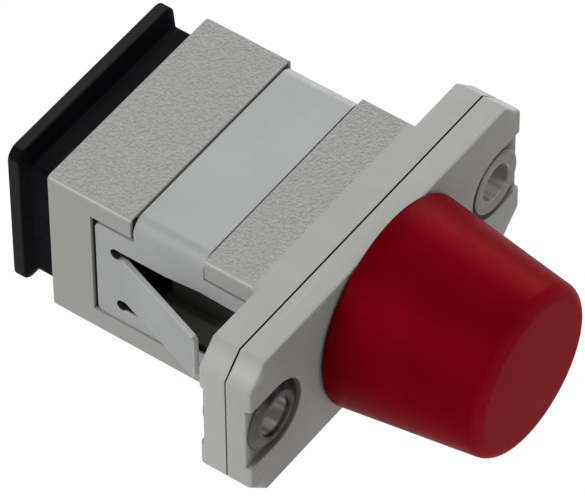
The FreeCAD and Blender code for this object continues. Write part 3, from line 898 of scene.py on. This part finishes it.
def makePanelClip():
    low, high = cadCorners("panel_clip")
    size = clip
    halfW = housing["bodyHalfWidth"] - size["inset"]
    top = high.z
    piece = drawOutline("panelClip", [(halfW, y, z) for y, z in armOutline(size, low.y, high.y)], True)
    rootY = size["slitEnd"] - size["tabFlat"]
    foldOn(piece, onPlane(yAxis, rootY), tabPath(size, halfW - size["sheet"]), size["tabCorner"])
    armEdge = onPlane(zAxis, size["armTop"])
    foldOn(piece, lambda a, b: armEdge(a, b) and min(a.y, b.y) > size["strapStart"] - near
           and max(a.y, b.y) < size["strapEnd"] + near, strapPath(size, halfW, top))
    mirrorHalf(piece)
    openUp(piece)
    faceOut()
    shape = bmesh.from_edit_mesh(piece.data)
    if min(face.normal.z for face in shape.faces) < -facing:   # the strap has to face up
        bpy.ops.mesh.flip_normals()
    closeUp()
    applyModifier(piece, "SOLIDIFY", thickness=size["sheet"], offset=-1, use_even_offset=True)
    softenEdges(piece, size["softEdge"], steps=2, fromAngle=50)
    finishPiece(piece, "panel_clip", "adapter", clipSteel)


makePanelClip()


# square dust cap: hollow plug, stop block, sloped neck and grip plate

squareCap = {
    "plugHalfWidth": 4.425, "plugHalfHeight": 3.625, "plugWall": 0.8, "plugCorner": 0.4,
    "blockHalfWidth": 5.75, "blockHalfHeight": 3.7, "blockStart": 12.25, "blockEnd": 13.65,
    "blockCorner": 0.3, "gripHalfWidth": 6.2, "gripHalfHeight": 4.55, "gripStart": 14.1, "gripCorner": 0.7,
    "hollowEnd": 13.05, "overlap": 0.2, "softEdge": 0.07,
}


def roundedBlock(name, halfW, halfH, corner, y0, y1):
    block = addBar(name, halfW, halfH, y0, y1)
    bevelEdges(block, alongAxis(yAxis), corner, steps=6)
    return block


def makeSquareCap():
    low, high = cadCorners("square_dust_cap")
    size = squareCap
    piece = roundedBlock("squareDustCap", size["gripHalfWidth"], size["gripHalfHeight"], size["gripCorner"],
                         size["gripStart"], high.y)
    block = roundedBlock("block", size["blockHalfWidth"], size["blockHalfHeight"], size["blockCorner"],
                         size["blockStart"], size["blockEnd"])
    takeUp(piece)
    block.select_set(True)
    bpy.ops.object.join()
    ends = (size["gripStart"], size["blockEnd"])
    pickFaces(piece, lambda face: abs(face.normal.y) > facing
              and min(abs(face.calc_center_median().y - end) for end in ends) < near)
    bpy.ops.mesh.bridge_edge_loops()   # the sloped neck between block and grip plate
    closeUp()
    plug = roundedBlock("plug", size["plugHalfWidth"], size["plugHalfHeight"], size["plugCorner"],
                        low.y, size["blockStart"] + size["overlap"])
    combine(piece, plug, "UNION")
    hollow = roundedBlock("hollow", size["plugHalfWidth"] - size["plugWall"],
                          size["plugHalfHeight"] - size["plugWall"], size["plugCorner"],
                          low.y - past, size["hollowEnd"])
    cutAway(piece, hollow)
    dissolveFlat(piece)
    softenEdges(piece, size["softEdge"], steps=3, fromAngle=30)
    finishPiece(piece, "square_dust_cap", "square_cap", blackPlastic)


makeSquareCap()


# round dust cap: tapered soft cup

roundCap = {
    "mouth": 4.35, "base": 5.65, "tip": 4.52, "bore": 4.12, "innerEnd": -10.05,
    "baseRound": 0.22, "tipRound": 0.75, "innerRound": 0.45, "mouthRound": 0.1,
}


def makeRoundCap():
    low, high = cadCorners("round_dust_cap")
    size = roundCap
    piece = turnOnAxis("roundDustCap", [
        (0, size["innerEnd"], 0), (size["bore"], size["innerEnd"], size["innerRound"]),
        (size["mouth"], high.y, size["mouthRound"]), (size["base"], high.y, size["baseRound"]),
        (size["tip"], low.y, size["tipRound"]), (0, low.y, 0),
    ], steps=160, arcSteps=10)
    finishPiece(piece, "round_dust_cap", "round_cap", redVinyl, smoothTo=60)


makeRoundCap()


# threaded barrel with its collar and key slot

barrel = {
    "radius": 4.0, "shank": 3.97, "root": 3.55, "pitch": 0.75, "crest": 0.1, "bore": 3.2, "threadStart": -3.4,
    "windSteps": 72, "endBevel": 0.35, "spare": 0.3, "overlap": 0.1, "slotWidth": 2.14, "slotLength": 4.0,
    "collarRadius": 5.2, "collarHalfHeight": 3.83, "collarThickness": 0.7,
}


def makeThreadedBarrel():
    low, high = cadCorners("threaded_barrel")
    size = barrel
    pitch = size["pitch"]
    half = size["crest"] / 2
    turns = math.ceil((size["threadStart"] - low.y) / pitch) + 2   # one to spare at each end
    profile = [(size["root"], 0), (size["root"], half), (size["radius"], pitch / 2 - half),
               (size["radius"], pitch / 2 + half), (size["root"], pitch - half), (size["root"], pitch)]
    piece = drawOutline("threadedBarrel", [(r, low.y - pitch + y, 0) for r, y in profile], False)
    pickEdges(piece, lambda a, b: (a - b).length > pitch - near)   # the ring's closing edge
    bpy.ops.mesh.delete(type="EDGE")
    closeUp()
    applyModifier(piece, "SCREW", axis="Y", angle=2 * math.pi, screw_offset=pitch, iterations=turns,
                  steps=size["windSteps"], render_steps=size["windSteps"])
    openUp(piece)
    bpy.ops.mesh.remove_doubles(threshold=joinWeld)
    for place, way in ((low.y, -1), (size["threadStart"], 1)):
        bpy.ops.mesh.select_all(action="SELECT")
        bpy.ops.mesh.bisect(plane_co=(0, place, 0), plane_no=(0, way, 0), use_fill=True, clear_outer=True)
    faceOut()
    closeUp()
    reach = size["radius"] + size["spare"]
    envelope = addRod("envelope", reach, low.y, size["threadStart"] + past, steps=128)
    bevelEdges(envelope, onPlane(yAxis, low.y), size["endBevel"] + size["spare"], steps=1)
    combine(piece, envelope, "INTERSECT")
    shank = addRod("shank", size["shank"], size["threadStart"] - size["overlap"], high.y, steps=128)
    combine(piece, shank, "UNION")
    collar = addRod("collar", size["collarRadius"], high.y - size["collarThickness"], high.y, steps=128)
    wide = size["collarRadius"] + past
    flats = addBar("flats", wide, size["collarHalfHeight"], low.y, high.y + past)
    combine(collar, flats, "INTERSECT")
    combine(piece, collar, "UNION")
    cutAway(piece, addRod("bore", size["bore"], low.y - past, high.y + past, steps=128))
    slot = addBlock("slot", (-size["slotWidth"] / 2, low.y - past, 0),
                    (size["slotWidth"] / 2, low.y + size["slotLength"], size["radius"] + past))
    cutAway(piece, slot)
    finishPiece(piece, "threaded_barrel", "adapter", nickelPlate, smoothTo=30)


makeThreadedBarrel()


# sleeve holder, turned

holder = {
    "bore": 1.65, "outside": 2.25, "lip": 1.4, "lipThickness": 0.4, "disc": 3.17, "discThickness": 0.9,
    "noseRound": 0.2, "softEdge": 0.06,
}


def makeSleeveHolder():
    low, high = cadCorners("sleeve_holder")
    size = holder
    soft = size["softEdge"]
    discFront = high.y - size["discThickness"]
    piece = turnOnAxis("sleeveHolder", [
        (size["lip"], low.y, soft), (size["outside"], low.y, size["noseRound"]),
        (size["outside"], discFront, soft), (size["disc"], discFront, soft),
        (size["disc"], high.y, soft), (size["bore"], high.y, soft),
        (size["bore"], low.y + size["lipThickness"], 0), (size["lip"], low.y + size["lipThickness"], 0),
    ], steps=96, arcSteps=3)
    finishPiece(piece, "sleeve_holder", "adapter", nickelPlate)


makeSleeveHolder()


# split sleeve

sleeve = {"bore": 1.25, "outside": 1.6, "slit": 0.4, "leadIn": 0.12, "softEdge": 0.05}


def makeSplitSleeve():
    low, high = cadCorners("split_sleeve")
    size = sleeve
    soft = size["softEdge"]
    piece = turnOnAxis("splitSleeve", [
        (size["bore"], low.y, size["leadIn"]), (size["outside"], low.y, soft),
        (size["outside"], high.y, soft), (size["bore"], high.y, size["leadIn"]),
    ], steps=96, arcSteps=3)
    slit = addBlock("slit", (-size["slit"] / 2, low.y - past, 0),
                    (size["slit"] / 2, high.y + past, size["outside"] + past))
    cutAway(piece, slit)
    finishPiece(piece, "split_sleeve", "adapter", zirconia)


makeSplitSleeve()


# latch insert: seat plate, sleeve tube and two hooks

insert = {
    "seatHalfWidth": 5.225, "seatHalfHeight": 3.925, "seatEnd": -0.45, "rootDepth": 0.1,
    "tube": 2.25, "tubeEnd": 4.65, "bore": 1.65, "lip": 1.4, "lipThickness": 0.4,
    "armOuter": 4.225, "armInner": 3.375, "armHalfWidth": 2.3,
    "hookReach": 0.45, "hookLength": 1.2, "hookNose": 0.35, "softEdge": 0.06,
}


def makeLatchInsert():
    low, high = cadCorners("latch_insert")
    size = insert
    piece = addBar("latchInsert", size["seatHalfWidth"], size["seatHalfHeight"], low.y, size["seatEnd"])
    rootY = low.y + size["rootDepth"]   # tube and hooks start inside the plate
    combine(piece, addRod("tube", size["tube"], rootY, size["tubeEnd"]), "UNION")
    for side in (1, -1):
        outer, inner = side * size["armOuter"], side * size["armInner"]
        hook = [(outer, rootY), (outer, high.y), (outer - side * size["hookNose"], high.y),
                (inner - side * size["hookReach"], high.y - size["hookLength"] + size["hookNose"]),
                (inner, high.y - size["hookLength"]), (inner, rootY)]
        arm = drawOutline("arm", [(x, y, -size["armHalfWidth"]) for x, y in hook], True)
        pushOut(arm, (0, 0, 2 * size["armHalfWidth"]))
        combine(piece, arm, "UNION")
    lipStart = size["tubeEnd"] - size["lipThickness"]
    cutAway(piece, addRod("sleeveBore", size["bore"], low.y - past, lipStart))
    cutAway(piece, addRod("ferruleHole", size["lip"], low.y, size["tubeEnd"] + past))
    dissolveFlat(piece)
    softenEdges(piece, size["softEdge"])
    finishPiece(piece, "latch_insert", "adapter", blackInsert)


makeLatchInsert()


# floor, light and camera

white = (1, 1, 1, 1)
studio = {
    "floorHeight": -0.045, "floorSize": 3, "floorTone": (0.8, 0.8, 0.8, 1), "floorRough": 0.9,
    "backdrop": 1.02, "fill": 0.47,
}

lamps = {
    "keyPanel": {"place": (-0.37, 0.13, 0.31), "size": 0.30, "power": 1.10},
    "rightPanel": {"place": (0.44, 0.115, 0.205), "size": 0.26, "power": 1.30},
    "backPanel": {"place": (0.33, 0.24, 0.42), "size": 0.42, "power": 0.31},
}


def showCamera(tree, shown, lighting, output):
    # the camera sees one shader, everything else is lit by the other
    rays = addNode(tree, "ShaderNodeLightPath").outputs["Is Camera Ray"]
    pick = addNode(tree, "ShaderNodeMixShader", {0: rays, 1: lighting.outputs[0], 2: shown.outputs[0]})
    joinUp(tree, (pick.outputs[0], tree.nodes[output].inputs["Surface"]))


def makeStudio():
    # the camera sees a plain white floor and backdrop, the object only their softer light
    deselectAll()
    bpy.ops.mesh.primitive_plane_add(size=studio["floorSize"], location=(0, 0, studio["floorHeight"]))
    floor = lastMade("floor")
    material, tree, shader = newMaterial("paleFloor")
    shader.inputs["Base Color"].default_value = studio["floorTone"]
    shader.inputs["Roughness"].default_value = studio["floorRough"]
    glow = addNode(tree, "ShaderNodeEmission", {"Strength": studio["backdrop"]})
    showCamera(tree, glow, shader, "Material Output")
    floor.data.materials.append(material)
    world = bpy.data.worlds.new("softWorld")
    world.use_nodes = True
    tree = world.node_tree
    fill = tree.nodes["Background"]
    fill.inputs["Color"].default_value = white
    fill.inputs["Strength"].default_value = studio["fill"]
    backdrop = addNode(tree, "ShaderNodeBackground", {"Color": white, "Strength": studio["backdrop"]})
    showCamera(tree, backdrop, fill, "World Output")
    bpy.context.scene.world = world


def makeLamps():
    for name, lamp in lamps.items():
        deselectAll()
        bpy.ops.object.light_add(type="AREA", location=lamp["place"])
        light = lastMade(name)
        light.data.size = lamp["size"]
        light.data.energy = lamp["power"]
        light.rotation_euler = (-Vector(lamp["place"])).to_track_quat("-Z", "Y").to_euler()


photoView = {
    "azimuth": -53.551, "elevation": 48.356, "roll": -0.702, "distance": 307.28, "slideX": 2.063,
    "slideY": -1.047, "focalPixels": 6474.76, "imageWidth": 585, "sensorWidth": 36, "clip": (0.01, 10),
}


def makeCamera():
    view = photoView
    azimuth, elevation, roll = (math.radians(view[key]) for key in ("azimuth", "elevation", "roll"))
    level = math.cos(elevation)
    back = Vector((math.sin(azimuth) * level, -math.cos(azimuth) * level, math.sin(elevation)))
    right = Vector((math.cos(azimuth), math.sin(azimuth), 0))
    up = back.cross(right)
    across = math.cos(roll) * right + math.sin(roll) * up
    upward = math.cos(roll) * up - math.sin(roll) * right
    place = -view["slideX"] * across - view["slideY"] * upward + view["distance"] * back
    turn = Matrix((across, upward, back)).transposed().to_4x4()
    bpy.ops.object.camera_add()
    camera = lastMade("photoCamera")
    camera.matrix_world = Matrix.Translation(place * mm) @ turn
    camera.data.sensor_fit = "HORIZONTAL"
    camera.data.sensor_width = view["sensorWidth"]
    camera.data.lens = view["focalPixels"] * camera.data.sensor_width / view["imageWidth"]
    camera.data.clip_start, camera.data.clip_end = view["clip"]
    bpy.context.scene.camera = camera


makeStudio()
makeLamps()
makeCamera()
bpy.context.scene.view_settings.view_transform = "Standard"
print("studio ready")
